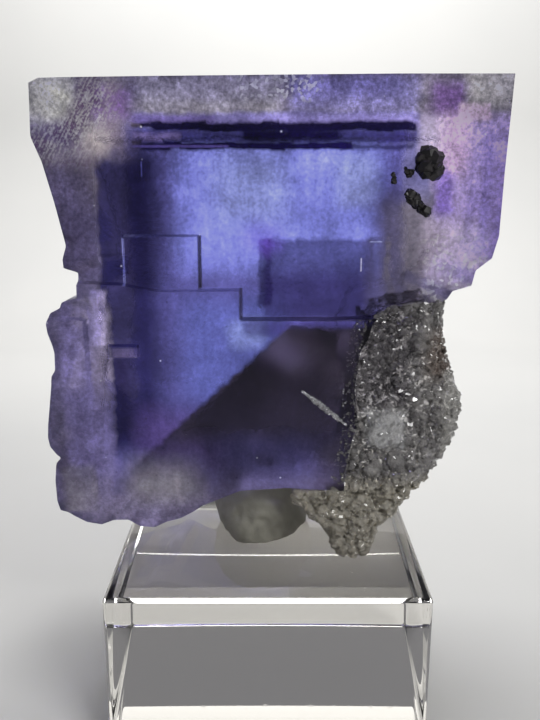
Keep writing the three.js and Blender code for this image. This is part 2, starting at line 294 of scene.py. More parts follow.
def along_steps(flat):
    """The front grid with its inner points pulled to every step."""
    flat = flat.copy()
    x, z = flat[1:-1, 1:-1, 0], flat[1:-1, 1:-1, 1]
    for line in TABLET[:2]:
        x = pulled(x, line, (z > 42.2) & (z < TABLET[2] + 0.2))
    for line in NUB[:2]:
        x = pulled(x, line, (z > NUB[2] - 0.2) & (z < NUB[3] + 0.2))
    x = pulled(x, NOTCH, (z > 39.1) & (z < 42.2))
    left, right = long_step(x)
    z = pulled(z, TABLET[2], (x > TABLET[0] - 0.2) & (x < TABLET[1] + 0.2))
    for line in NUB[2:]:
        z = pulled(z, line, (x > NUB[0] - 0.2) & (x < NUB[1] + 0.2))
    z = pulled(z, left, x < NOTCH)
    z = pulled(z, right, x > NOTCH)
    flat[1:-1, 1:-1] = np.stack([x, z], axis=-1)
    return flat


def front_depth(x, z):
    """The front cube face: y of the lower field, plus each step's height times its soft outline."""
    left, right = long_step(x)
    upper = np.maximum(past(z, left), past(z, right) * past(x, NOTCH))
    tablet = past(x, TABLET[0]) * past(-x, -TABLET[1]) * past(-z, -TABLET[2])
    nub = past(x, NUB[0]) * past(-x, -NUB[1]) * past(z, NUB[2]) * past(-z, -NUB[3])
    y = FRONT + STEP * upper * (2 - tablet) - STEP * nub
    for low, high, proud in LEFT_BLOCKS:
        y = y - proud * inside(x, -40, -16.6, 0.5) * inside(z, low, high, 0.5)
    hillocks = cloud(x / 2.3, z / 3.1, 1) + 0.5 * cloud(x / 0.9, z / 1.2, 2)
    return y + 0.05 * (hillocks - 0.75)


fore = along_steps(face)
front = stacked(fore, front_depth(fore[..., 0], fore[..., 1]))
print("front depth", front[..., 1].min().round(2), "to", front[..., 1].max().round(2), "mm")

# %% [markdown]
# ## The crystal's back
# The back is the smaller cube face, cut away below by two octahedral cleavage planes. Cutting with a
# boolean would leave ragged triangles, so the depth is worked out instead, as the least of several
# planes. The whole crystal narrows towards the back.

# %% The crystal's back
MIDDLE = np.array([0.0, 40.5])
BACK_SHARE = 0.888
# Cleavage planes: the way across and up, the offset, and the height below which each cuts
CLEAVAGES = [(1, -1, -16.9, 35.5), (-1, -1, 5.0, 80)]
# Steps of the back face: left, right, low, high and depth
BACK_STEPS = [(-0.8, 14.9, 35.4, 45.5, 0.3), (-30, 30, 57.5, 70, 0.5)]


def narrowed(flat, y):
    """Front-face points drawn towards the outline's middle in proportion to their depth y."""
    share = 1 - (1 - BACK_SHARE) * (y - FRONT) / (BACK - FRONT)
    return MIDDLE + (flat - MIDDLE) * share[..., None]


def at_back(flat):
    """Where front-face points meet the back: the stepped cube face, or a cleavage plane that lies nearer.

    Depth and narrowing depend on each other, so both are repeated until they agree.
    """
    x, z = flat[..., 0], flat[..., 1]
    cube_face = BACK + 0.1 * (cloud(x / 3.1, z / 2.7, 3) - 0.5)
    for left, right, low, high, depth in BACK_STEPS:
        cube_face = cube_face - depth * inside(x, left, right, 0.5) * inside(z, low, high, 0.5)
    y = cube_face
    for _ in range(8):
        place = narrowed(flat, y)
        y = cube_face
        for side, upward, offset, below in CLEAVAGES:
            plane = offset - side * place[..., 0] - upward * place[..., 1]
            y = np.where(place[..., 1] < below, np.minimum(y, plane), y)
    return place, y


def along_ridges(flat):
    """The back grid with its inner points pulled to the lines where cleavage planes leave the back face."""
    flat = flat.copy()
    inner = flat[1:-1, 1:-1]
    for side, upward, offset, below in CLEAVAGES:
        way = np.array([side, upward])
        line = (offset - BACK - upward * MIDDLE[1]) / BACK_SHARE + upward * MIDDLE[1]
        ledge = MIDDLE[1] + (below - MIDDLE[1]) / BACK_SHARE
        gap = inner @ way - line
        near = (np.abs(gap) < GRID_REACH) & (inner[..., 1] < ledge)
        inner -= np.where(near, gap, 0)[..., None] * way / 2
        inner[..., 1] = pulled(inner[..., 1], ledge, inner @ way > line)
    return flat


back = stacked(*at_back(along_ridges(face)))
print("back depth", back[..., 1].min().round(2), "to", back[..., 1].max().round(2), "mm")

# %% [markdown]
# ## The crystal's sides
# The sides join front and back, with stacked blocks low on the left and shell-like breaks below. Their
# relief fades out towards both ends, so that all three surfaces meet in the same rims and can be welded.

# %% The crystal's sides
SIDE_BLOCK_HIGH = 3.4
SIDE_BLOCK_DEEP = 3.6


def rim_relief(x, y, z, outward):
    """How far the sides stand out: stacked blocks low on the left, shell-like hollows on the underside."""
    block_column = np.floor(y / SIDE_BLOCK_DEEP)
    block_row = np.floor(z / SIDE_BLOCK_HIGH + 0.4 * chance(block_column, 0, 5))
    block = chance(block_row, block_column, 4)
    low = smooth((43 - z) / 4)
    left = smooth(-2 * outward[..., 0] - 0.6) * low * (0.9 * block - 0.75)
    across = np.sin(x / 1.3 + 2 * cloud(x / 4, y / 5, 6))
    along = np.sin(y / 1.7 + 3 * cloud(y / 5, x / 3, 7))
    under = smooth(-2 * outward[..., 1] - 0.6) * -0.12 * np.abs(across * along)
    growth = 0.1 * (cloud(y / 2.2, (x + z) / 2.4, 8) - 0.5)
    return left + under + growth


def side_points():
    """The rim carried straight from the front's depth to the back's, narrowed, plus relief outwards."""
    closed = np.concatenate([rim, rim[:1]])
    run = np.roll(rim, -1, axis=0) - np.roll(rim, 1, axis=0)
    outward = np.c_[run[:, 1], -run[:, 0]] / np.hypot(*run.T)[:, None]
    outward = np.concatenate([outward, outward[:1]])[:, None]
    y_front = front_depth(closed[:, 0], closed[:, 1])[:, None]
    y_back = at_back(closed)[1][:, None]
    w = np.linspace(0, 1, DEEP)[None]
    y = y_front + (y_back - y_front) * w
    flat = narrowed(np.broadcast_to(closed[:, None], (*y.shape, 2)), FRONT + (y_back - FRONT) * w)
    ends = smooth(9 * np.minimum(w, 1 - w))
    relief = rim_relief(flat[..., 0], y, flat[..., 1], np.broadcast_to(outward, flat.shape)) * ends
    return stacked(flat + outward * relief[..., None], y)


parts = [front, back[::-1], side_points()]
starts = np.cumsum([0] + [part.shape[0] * part.shape[1] for part in parts])
quads = [grid_quads(*part.shape[:2], start) for part, start in zip(parts, starts)]
points = np.concatenate([part.reshape(-1, 3) for part in parts])
crystal = make_piece("fluorite", points, np.concatenate(quads), 24)
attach(crystal, "root")
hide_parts("fluorite_crystal")

# %% [markdown]
# ## Crystals by the thousand
# The crust is thousands of small quartz crystals, and the ore grains are clusters too. One function
# makes any number at once: a profile of flat-sided rings, carried to every root and turned onto every
# axis by array arithmetic. Looping over crystals in Python would be slower and no clearer.

# %% Crystals by the thousand
QUARTZ_PROFILE = [(0, -0.5), (1, -0.5), (1, 0.25), (0.08, 0.9)]
GRAIN_PROFILE = [(0, -0.6), (1, -0.6), (1, 0.3), (0.74, 0.62)]


def seam_quads(rings, sides):
    """Quads that close each pair of rings between their last and first point."""
    low = np.arange(rings - 1) * sides
    return np.stack([low + sides - 1, low + 2 * sides - 1, low + sides, low], axis=-1)


def cap_quads(rings, sides):
    """Quads across the topmost ring, as a fan from its first point. Rings of no radius close by welding."""
    fan = np.arange(1, sides - 2, 2)
    top = (rings - 1) * sides
    return np.stack([np.full(len(fan), top), top + fan, top + fan + 1, top + fan + 2], axis=-1)


def crystal_cluster(roots, axes, radii, lengths, sides, profile, rng):
    """Rings of radius times profile, at length times height, round each axis from each root.

    The topmost ring is pushed sideways a little, so that no two points are alike.
    """
    count = len(roots)
    axis = axes / np.linalg.norm(axes, axis=1)[:, None]
    aside = np.cross(axis, rng.normal(size=(count, 3)))
    aside /= np.linalg.norm(aside, axis=1)[:, None]
    across = np.cross(axis, aside)
    turn = np.arange(sides) * 2 * math.pi / sides
    ring_radius = np.array([ring for ring, _ in profile])
    ring_height = np.array([height for _, height in profile])
    reach = radii[:, None, None] * ring_radius[None, :, None]
    ripple = 1 + 0.22 * (rng.random((count, 1, sides)) - 0.5)
    first, second = reach * ripple * np.cos(turn), reach * ripple * np.sin(turn)
    skew = rng.normal(scale=0.22, size=(count, 2)) * radii[:, None]
    top = (ring_height > 0.5 * ring_height.max() + 0.3)[None, :, None]
    first, second = first + skew[:, :1, None] * top, second + skew[:, 1:, None] * top
    height = lengths[:, None, None] * np.broadcast_to(ring_height[None, :, None], first.shape)
    points = roots[:, None, None] + first[..., None] * aside[:, None, None]
    points = points + second[..., None] * across[:, None, None] + height[..., None] * axis[:, None, None]
    rings = len(profile)
    one = np.concatenate([grid_quads(rings, sides), seam_quads(rings, sides)])
    step = rings * sides
    quads = (one[None] + np.arange(count)[:, None, None] * step).reshape(-1, 4)
    caps = cap_quads(rings, sides)
    caps = (caps[None] + np.arange(count)[:, None, None] * step).reshape(-1, 4)
    return points.reshape(-1, 3), np.concatenate([quads, caps])


print("rings of a quartz crystal", len(QUARTZ_PROFILE), "and of a grain", len(GRAIN_PROFILE))

# %% [markdown]
# ## The crust's lump
# The crust is a low lump against the crystal's lower right. A dented ball would be quick to make, but
# the lump has to keep to the contact with the fluorite. So its section at each height is half of a boxy
# ellipse, from the contact in front, round the outer edge, to the contact behind.

# %% The crust's lump
# Outer edges of the lump in x and z from the foot up, on the crystal's side and on the free side
CONTACT_LINE = [
    (7.6, 15.8), (6.7, 16.5), (5.0, 19.0), (2.9, 21.1), (2.2, 22.2), (7.2, 22.7), (7.8, 26.5),
    (8.4, 29.2), (8.2, 33), (8.5, 36.3), (9.0, 38.9), (10.6, 40.2), (13.4, 40.8),
]
CRUST_EDGE = [
    (9.6, 15.8), (10.4, 18.2), (12.0, 20.0), (13.8, 21.6), (15.6, 23.2), (17.0, 25.0), (18.3, 27.0),
    (18.9, 30.0), (18.8, 31.3), (17.7, 34.0), (17.0, 36.5), (16.4, 39.0), (16.5, 40.8),
]
CRUST_FRONT = -7.75
CRUST_BACK = [(15.8, -5.5), (20, -4.8), (22, -3), (24, 0.5), (30, 5.5), (36, 5.0), (40.8, 1.5)]
CRUST_FOOT = 15.8
CRUST_HEIGHT = 25.0
BOXY = 0.5


def crust_surface(z, angle):
    """A point of the lump at height z and angle, -90 degrees at the contact in front, 90 behind."""
    left = np.interp(z, *np.array(CONTACT_LINE)[:, ::-1].T)
    right = np.interp(z, *np.array(CRUST_EDGE)[:, ::-1].T)
    behind = np.interp(z, *np.array(CRUST_BACK).T)
    middle, half = (CRUST_FRONT + behind) / 2, (behind - CRUST_FRONT) / 2
    x = left + (right - left) * np.abs(np.cos(angle)) ** BOXY
    y = middle + half * np.sign(np.sin(angle)) * np.abs(np.sin(angle)) ** BOXY
    return np.stack([x, y, z], axis=-1)


def evened(t):
    """Angles for shares from -1 to 1 that step evenly along the flat front and back of the lump."""
    return math.pi / 2 * np.sign(t) * (1 - (1 - np.abs(t)) ** 2)


def closed_lump(rows=90, columns=70):
    """The lump's grid, closed by quads across the contact in every row and across both end rows."""
    height = np.linspace(CRUST_FOOT, CRUST_FOOT + CRUST_HEIGHT, rows)
    height, angle = np.meshgrid(height, evened(np.linspace(-1, 1, columns)), indexing="ij")
    points = crust_surface(height, angle)
    points[..., 1] += 0.5 * (cloud(points[..., 0] / 1.4, points[..., 2] / 1.6, 9) - 0.5)
    row = np.arange(rows - 1) * columns
    contact = np.stack([row, row + columns, row + 2 * columns - 1, row + columns - 1], axis=-1)
    fold = np.arange(columns // 2 - 1)
    foot = np.stack([fold, fold + 1, columns - 2 - fold, columns - 1 - fold], axis=-1)
    crown = foot[:, ::-1] + (rows - 1) * columns
    return points.reshape(-1, 3), np.concatenate([grid_quads(rows, columns), contact, foot, crown])


lump = closed_lump()
print("lump", len(lump[0]), "points", len(lump[1]), "quads")

# %% [markdown]
# ## The crust's crystals
# Small crystals stand all over the lump, with a few larger grains in front. The smallest ones stray onto
# the fluorite beside the contact and fill a scratch there. All of them and the lump become one mesh.

# %% The crust's crystals
CRUST_CRYSTALS = 3400
STRAY_CRYSTALS = 420
SCRATCH = [(3.2, 32.5), (7.4, 29.2)]
SCRATCH_CRYSTALS = 260
SCRATCH_HALF = 0.24
STRAY_HEIGHTS = (23.2, 39.2)
STRAY_REACH = 1.3
# Radii: the least, how much more there can be, and the power that makes large ones rare
CRUST_RADII = (0.11, 0.36, 2.6)
STRAY_RADII = (0.05, 0.1, 2.5)
SCRATCH_RADII = (0.06, 0.08, 1)
# The few larger grains in front: place and radius
LARGE_GRAINS = [
    ((11.1, -7.7, 28.7), 1.9), ((12.3, -7.8, 25.7), 1.0), ((10.1, -7.8, 24.7), 0.9),
    ((14.1, -7.6, 36.9), 1.1), ((13.7, -7.4, 31.8), 0.9), ((8.6, -7.5, 21.4), 1.2),
    ((9.4, -7.2, 19.6), 1.1), ((7.4, -7.0, 18.6), 1.0), ((3.1, -7.2, 21.5), 0.9),
    ((4.4, -7.3, 20.6), 1.0), ((6.0, -7.3, 20.4), 1.1), ((8.6, -7.1, 17.4), 0.9),
]


def chance_radii(count, least, more, power, rng):
    """least plus more times a power of a chance number from 0 to 1."""
    return least + more * rng.random(count) ** power


def crust_sites(count, rng):
    """Random places on the lump and the way out of it there, from two small steps along the surface."""
    z = CRUST_FOOT + CRUST_HEIGHT * rng.random(count)
    angle = 0.999 * evened(2 * rng.random(count) - 1)
    place = crust_surface(z, angle)
    along = crust_surface(z, angle + 0.001) - place
    up = crust_surface(z + 0.05, angle) - place
    out = np.cross(along, up)
    return place, out / np.linalg.norm(out, axis=1)[:, None]


def stray_sites(count, rng):
    """Places on the crystal's front just beyond the contact, fewer with distance, all facing forwards."""
    z = STRAY_HEIGHTS[0] + (STRAY_HEIGHTS[1] - STRAY_HEIGHTS[0]) * rng.random(count)
    x = np.interp(z, *np.array(CONTACT_LINE)[:, ::-1].T) - STRAY_REACH * rng.random(count) ** 2
    place = np.stack([x, np.full(count, FRONT), z], axis=-1)
    return place, np.tile([0.0, -1.0, 0.0], (count, 1))


def scratch_sites(count, rng):
    """Places along the scratch on the crystal's front, a slit that is widest in its middle."""
    share = rng.random((count, 1))
    x, z = (np.array(SCRATCH[0]) * (1 - share) + np.array(SCRATCH[1]) * share).T
    aside = SCRATCH_HALF * np.sin(math.pi * share[:, 0]) * rng.uniform(-1, 1, count)
    place = np.stack([x + 0.6 * aside, np.full(count, FRONT), z + 0.8 * aside], axis=-1)
    return place, np.array([0.0, -1.0, 0.0]) + rng.normal(scale=0.6, size=(count, 3))


rng = np.random.default_rng(5)
roots, outward = crust_sites(CRUST_CRYSTALS, rng)
radii = chance_radii(CRUST_CRYSTALS, *CRUST_RADII, rng)
radii *= 1 + 0.7 * smooth((24 - roots[:, 2]) / 3)
lengths = radii * (0.7 + 0.6 * rng.random(CRUST_CRYSTALS))
axes = outward + rng.normal(scale=0.5, size=outward.shape)
clusters = [crystal_cluster(roots, axes, radii, lengths, 6, QUARTZ_PROFILE, rng)]
roots, axes = stray_sites(STRAY_CRYSTALS, rng)
radii = chance_radii(STRAY_CRYSTALS, *STRAY_RADII, rng)
axes = axes + rng.normal(scale=0.4, size=axes.shape)
clusters.append(crystal_cluster(roots, axes, radii, radii, 6, QUARTZ_PROFILE, rng))
roots, axes = scratch_sites(SCRATCH_CRYSTALS, rng)
radii = chance_radii(SCRATCH_CRYSTALS, *SCRATCH_RADII, rng)
clusters.append(crystal_cluster(roots, axes, radii, radii, 6, QUARTZ_PROFILE, rng))
roots = np.array([place for place, _ in LARGE_GRAINS])
radii = np.array([radius for _, radius in LARGE_GRAINS])
axes = np.tile([0.0, -1.0, 0.12], (len(radii), 1)) + rng.normal(scale=0.12, size=roots.shape)
clusters.append(crystal_cluster(roots, axes, radii, 0.7 * radii, 6, GRAIN_PROFILE, rng))
clusters.append(lump)

starts = np.cumsum([0] + [len(points) for points, _ in clusters])
points = np.concatenate([points for points, _ in clusters])
quads = np.concatenate([quads + start for (_, quads), start in zip(clusters, starts)])
crust = make_piece("quartz", points, quads, 20)
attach(crust, "root")
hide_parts("quartz_crust")

# %% [markdown]
# ## Dark grains of ore
# The grains are black and break in flat faces, and a bumpy ball would look too soft for that. So each
# is a tight cluster of blunt five-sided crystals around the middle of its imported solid.

# %% Dark grains of ore
ORE_PROFILE = [(0, -0.9), (0.75, -0.65), (1, 0), (0.8, 0.6), (0, 0.95)]
ORE_DEPTH = -7.1
# Each grain: the two ends of its middle line in x and z, its radius and how many crystals it has
GRAINS = {
    "dark_grain_large": ((14.3, 52.6), (14.0, 53.8), 1.5, 40),
    "dark_grain_lower": ((12.5, 50.5), (14.1, 48.9), 0.88, 36),
    "dark_grain_side": ((11.9, 52.6), (12.8, 52.2), 0.5, 14),
    "dark_grain_tiny": ((11.15, 52.1), (11.18, 51.6), 0.5, 9),
}


def grain_cluster(start, end, radius, count, rng):
    """Crystals whose roots fill a flattened sausage around the grain's middle line."""
    share = rng.random((count, 1))
    line = np.array(start) * (1 - share) + np.array(end) * share
    middle = np.c_[line[:, 0], np.full(count, ORE_DEPTH), line[:, 1]]
    way = rng.normal(size=(count, 3))
    way /= np.linalg.norm(way, axis=1)[:, None]
    roots = middle + way * radius * np.array([0.55, 0.4, 0.55]) * rng.random((count, 1)) ** 0.4
    radii = radius * (0.3 + 0.3 * rng.random(count))
    axes = way + rng.normal(scale=0.5, size=way.shape)
    return crystal_cluster(roots, axes, radii, radii, 5, ORE_PROFILE, rng)


ore_pieces = []
for node, (start, end, radius, count) in GRAINS.items():
    points, quads = grain_cluster(start, end, radius, count, np.random.default_rng(count))
    grain = make_piece(node.replace("dark_grain", "ore_grain"), points, quads, 15)
    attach(grain, "root")
    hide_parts(node)
    ore_pieces.append(grain)

# %% [markdown]
# ## Mineral tack
# The tack is a ball of putty, pinched and pressed: flat on the block, and squeezed up against the
# crystal's underside. A ball is a grid of two angles, and both contacts are limits on its height.

# %% Mineral tack
BLOCK_TOP = 15.0
TACK_MIDDLE = np.array([-0.8, 0.8, 18.6])
TACK_HALF = np.array([5.4, 6.0, 6.2])
TACK_RIGHT = 4.9
TACK_PRESS = 0.08


def underside(x, y):
    """Height of the crystal's lower edge above a place, narrowed as the crystal is."""
    share = 1 - (1 - BACK_SHARE) * (y - FRONT) / (BACK - FRONT)
    lower = np.interp(x / share, *np.array(LOWER_EDGE).T)
    return MIDDLE[1] + (lower - MIDDLE[1]) * share


def tack_points(rows=90, columns=140):
    """A ball whose radius swells and dents with noise over its direction, held between two heights."""
    tilt = np.linspace(0, math.pi, rows)[:, None]
    turn = np.linspace(0, 2 * math.pi, columns)[None]
    level = np.sin(tilt)
    way = np.stack([level * np.cos(turn), level * np.sin(turn), np.cos(tilt) + 0 * turn], axis=-1)
    lump = np.sin(4 * way[..., 0] + 1) * np.sin(5 * way[..., 2]) + np.sin(3 * way[..., 1] + 2 * way[..., 2])
    dents = cloud(3 * way[..., 0] + 5, 3 * way[..., 2] + 2 * way[..., 1], 11) - 0.5
    fine = cloud(9 * way[..., 0], 9 * way[..., 2] + 7 * way[..., 1], 12) - 0.5
    swell = 1 + 0.06 * lump + 0.13 * dents + 0.035 * fine
    points = TACK_MIDDLE + TACK_HALF * way * swell[..., None]
    top = underside(points[..., 0], points[..., 1]) + TACK_PRESS
    points[..., 2] = np.clip(points[..., 2], BLOCK_TOP + 0.01, top)
    points[..., 0] = np.minimum(points[..., 0], TACK_RIGHT)
    return points


tack_grid = tack_points()
tack = make_piece("tack", tack_grid.reshape(-1, 3), grid_quads(*tack_grid.shape[:2]), 50)
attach(tack, "root")
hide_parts("mineral_tack")

# %% [markdown]
# ## The clear block
# A box with rounded edges is a ball cut into eight and moved apart to the box's corners. The grid of
# latitudes and longitudes keeps a doubled line at each cut, and the stretched quads there are the faces.

# %% The clear block
BLOCK_HALF = np.array([15.0, 15.0, 7.5])
BLOCK_ROUND = 0.45
ROUND_STEPS = 5


def rounded_box(half, radius, steps):
    """Corner of the box plus radius times a direction, for each eighth of the ball of directions."""
    quarter = np.linspace(0, math.pi / 2, steps)
    latitude = np.r_[quarter - math.pi / 2, quarter]
    upward = np.r_[-np.ones(steps), np.ones(steps)]
    longitude = np.r_[np.concatenate([quarter + k * math.pi / 2 for k in range(4)]), 2 * math.pi]
    rightward = np.r_[np.repeat([1, -1, -1, 1], steps), 1]
    inward = np.r_[np.repeat([1, 1, -1, -1], steps), 1]
    cos, sin = np.cos(latitude)[:, None], np.sin(latitude)[:, None]
    way = np.stack([cos * np.cos(longitude), cos * np.sin(longitude), sin + 0 * longitude], axis=-1)
    ones = np.ones(way.shape[:2])
    corner = np.stack([ones * rightward, ones * inward, ones * upward[:, None]], axis=-1)
    return corner * (half - radius) + way * radius


shell = rounded_box(BLOCK_HALF, BLOCK_ROUND, ROUND_STEPS)
shell[..., 2] += BLOCK_HALF[2]
rows, columns = shell.shape[:2]
corners = np.arange(4) * ROUND_STEPS
caps = np.stack([corners[::-1], corners + (rows - 1) * columns])
block = make_piece("block", shell.reshape(-1, 3), np.concatenate([grid_quads(rows, columns), caps]), 40)
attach(block, "root")
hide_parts("acrylic_block")

# %% [markdown]
# ## Node helpers
# Materials are small networks. They could be drawn by hand in the editor, but a script shows every
# step. A short function that adds a node, sets its values and links its inputs keeps a network as
# readable as a list.

# %% Node helpers
def fill(tree, node, **inputs):
    """A node's inputs set to values or linked to sockets, by name, or by number as i0, i1 and so on."""
    for name, value in inputs.items():
        numbered = name[0] == "i" and name[1:].isdigit()
        socket = node.inputs[int(name[1:]) if numbered else name.replace("_", " ")]
        if isinstance(value, bpy.types.NodeSocket):
            tree.links.new(value, socket)
        else:
            socket.default_value = value


def add_node(tree, kind, settings=None, **inputs):
    """A node of a kind with its settings and its inputs."""
    node = tree.nodes.new(kind)
    for name, value in (settings or {}).items():
        setattr(node, name, value)
    fill(tree, node, **inputs)
    return node


def maths(tree, operation, first, second=0.0, third=0.0):
    """One step of arithmetic."""
    node = add_node(tree, "ShaderNodeMath", {"operation": operation}, i0=first, i1=second, i2=third)
    return node.outputs[0]


def times(tree, first, second):
    """The product of two numbers."""
    return maths(tree, "MULTIPLY", first, second)


def split(tree, place):
    """The coordinates X, Y and Z of a place."""
    return add_node(tree, "ShaderNodeSeparateXYZ", i0=place).outputs


def vector(tree, operation, first, second=(0, 0, 0), third=(0, 0, 0)):
    """One step of arithmetic on vectors."""
    node = add_node(tree, "ShaderNodeVectorMath", {"operation": operation}, i0=first, i1=second, i2=third)
    return node.outputs[0]


def scaled(tree, first, scale):
    """A vector times a number."""
    return add_node(tree, "ShaderNodeVectorMath", {"operation": "SCALE"}, i0=first, Scale=scale).outputs[0]


def spread(tree, value, low, high, least=0.0, most=1.0):
    """A value between two limits, moved to between two others and held there."""
    node = add_node(tree, "ShaderNodeMapRange", i0=value, i1=low, i2=high, i3=least, i4=most)
    return node.outputs[0]


def noise(tree, place, scale, detail=3.0, roughness=0.5):
    """Smooth noise from 0 to 1 with so many lumps to a millimetre."""
    inputs = {"Vector": place, "Scale": scale, "Detail": detail, "Roughness": roughness}
    return add_node(tree, "ShaderNodeTexNoise", **inputs).outputs[0]

# %% [markdown]
# ## Shared effects: zones and grain
# Effects that come again in several places are groups: each is built once and placed with values of its
# own. A colour zone is a soft-edged box, a mask that is 1 inside it. Fine grain is two sizes of noise.

# %% Shared effects: zones and grain
PLACE = ("Position", "NodeSocketVector", (0, 0, 0))
ZONE_LIMITS = [("Left", "X", 1.0), ("Right", "X", -1.0), ("Low", "Z", 1.0), ("High", "Z", -1.0)]


def new_group(name, inputs, outputs):
    """A shader node group with named sockets: its tree, what it is given and its output node."""
    tree = bpy.data.node_groups.new(name, "ShaderNodeTree")
    for title, kind, value in inputs:
        socket = tree.interface.new_socket(title, in_out="INPUT", socket_type=kind)
        socket.default_value = value
    for title, kind in outputs:
        tree.interface.new_socket(title, in_out="OUTPUT", socket_type=kind)
    return tree, tree.nodes.new("NodeGroupInput").outputs, tree.nodes.new("NodeGroupOutput")


def use_group(tree, group, **inputs):
    """A group placed in a network, its inputs set or linked by name."""
    return add_node(tree, "ShaderNodeGroup", {"node_tree": group}, **inputs)


def number(title, value):
    """A group input for a number."""
    return title, "NodeSocketFloat", value


def zone_group():
    """Mask of a soft box in x and z: the smooth rise past each of its four limits, multiplied."""
    limits = [number(limit, 0.0) for limit, _, _ in ZONE_LIMITS]
    sockets = [PLACE, *limits, number("Softness", 1.0)]
    tree, given, end = new_group("Colour zone", sockets, [("Mask", "NodeSocketFloat")])
    axes = split(tree, given["Position"])
    half = times(tree, given["Softness"], 0.5)
    less = times(tree, half, -1.0)
    mask = 1.0
    smoothly = {"interpolation_type": "SMOOTHSTEP"}
    for limit, axis, way in ZONE_LIMITS:
        gap = times(tree, maths(tree, "SUBTRACT", axes[axis], given[limit]), way)
        rise = add_node(tree, "ShaderNodeMapRange", smoothly, i0=gap, i1=less, i2=half)
        mask = times(tree, rise.outputs[0], mask)
    fill(tree, end, Mask=mask)
    return tree


def grain_group():
    """Coarse and fine noise from 0 to 1 and their sum as a height."""
    sockets = [PLACE, number("Scale", 1.0), number("Fine", 0.4)]
    results = [("Coarse", "NodeSocketFloat"), ("Height", "NodeSocketFloat")]
    tree, given, end = new_group("Fine grain", sockets, results)
    coarse = noise(tree, given["Position"], given["Scale"])
    fine = noise(tree, given["Position"], times(tree, given["Scale"], 6.0), 2.0)
    height = maths(tree, "MULTIPLY_ADD", fine, given["Fine"], coarse)
    fill(tree, end, Coarse=coarse)
    fill(tree, end, Height=height)
    return tree


ZONE = zone_group()
GRAIN = grain_group()
print("groups", [group.name for group in (ZONE, GRAIN)])

# %% [markdown]
# ## Shared effects: blocks, flecks and facets
# These three come from scattered points. Growth blocks are the square cells around the points, flecks
# are spots at the points, and facets tilt the normal by a chance amount in each cell. They could be
# modelled, with many more faces, but at this size only their light is seen.

# %% Shared effects: blocks, flecks and facets
def mosaic_group():
    """Square growth blocks: the nearest of scattered points by the larger of its two distances.

    Each block has a shade of its own from 0 to 1.
    """
    sockets = [PLACE, number("Scale", 1.0)]
    tree, given, end = new_group("Growth blocks", sockets, [("Shade", "NodeSocketFloat")])
    axes = split(tree, given["Position"])
    flat = add_node(tree, "ShaderNodeCombineXYZ", X=axes["X"], Y=axes["Z"]).outputs[0]
    settings = {"voronoi_dimensions": "2D", "distance": "CHEBYCHEV"}
    cells = add_node(tree, "ShaderNodeTexVoronoi", settings, Vector=flat, Scale=given["Scale"])
    shade = add_node(tree, "ShaderNodeSeparateColor", Color=cells.outputs["Color"]).outputs[0]
    fill(tree, end, Shade=shade)
    return tree


def fleck_group():
    """Round spots at the points of a scatter, kept where a point's own number is below a share."""
    sockets = [PLACE, number("Scale", 1.0), number("Size", 0.2), number("Share", 0.5)]
    tree, given, end = new_group("Flecks", sockets, [("Mask", "NodeSocketFloat")])
    scatter = {"Vector": given["Position"], "Scale": given["Scale"]}
    cells = add_node(tree, "ShaderNodeTexVoronoi", **scatter)
    spot = spread(tree, cells.outputs["Distance"], given["Size"], 0.0)
    own = add_node(tree, "ShaderNodeSeparateColor", Color=cells.outputs["Color"]).outputs[0]
    kept = maths(tree, "LESS_THAN", own, given["Share"])
    fill(tree, end, Mask=times(tree, spot, kept))
    return tree


def facet_group():
    """Small flat facets: the normal plus a chance tilt that is the same all over each cell of a scatter."""
    sockets = [PLACE, ("Normal", "NodeSocketVector", (0, 0, 1)), number("Scale", 1.0), number("Tilt", 0.5)]
    tree, given, end = new_group("Facets", sockets, [("Normal", "NodeSocketVector")])
    scatter = {"Vector": given["Position"], "Scale": given["Scale"]}
    cells = add_node(tree, "ShaderNodeTexVoronoi", **scatter)
    lean = vector(tree, "SUBTRACT", cells.outputs["Color"], (0.5, 0.5, 0.5))
    tilted = vector(tree, "ADD", scaled(tree, lean, given["Tilt"]), given["Normal"])
    fill(tree, end, Normal=vector(tree, "NORMALIZE", tilted))
    return tree


MOSAIC = mosaic_group()
FLECKS = fleck_group()
FACETS = facet_group()
print("groups", [group.name for group in (MOSAIC, FLECKS, FACETS)])

# %% [markdown]
# ## Fluorite zones
# The colour of this crystal lies in zones inside it, parallel to its faces. A coloured volume would be
# slow to render, so the surface tints the light instead. The front face carries every zone, because a
# second layer of the same pattern behind it would only blur it.

# %% Fluorite zones
# Limits of the violet core on the front: left, right, low, high and softness
CORE_BOX = (-15.0, 14.6, 22, 57.3, 1.0)
BACKLIGHT = 0.5
DEEPEST = 0.00006


def tint(red, green, blue):
    """The surface colour that shows a screen colour against the backlight by a single crossing.

    A crossing keeps the square root of the surface colour, so the share of light is squared.
    """
    share = np.array(linear(red, green, blue)[:3]) / BACKLIGHT
    return (*np.clip(share ** 2, DEEPEST, 1).tolist(), 1.0)


RIM = (104, 99, 114)
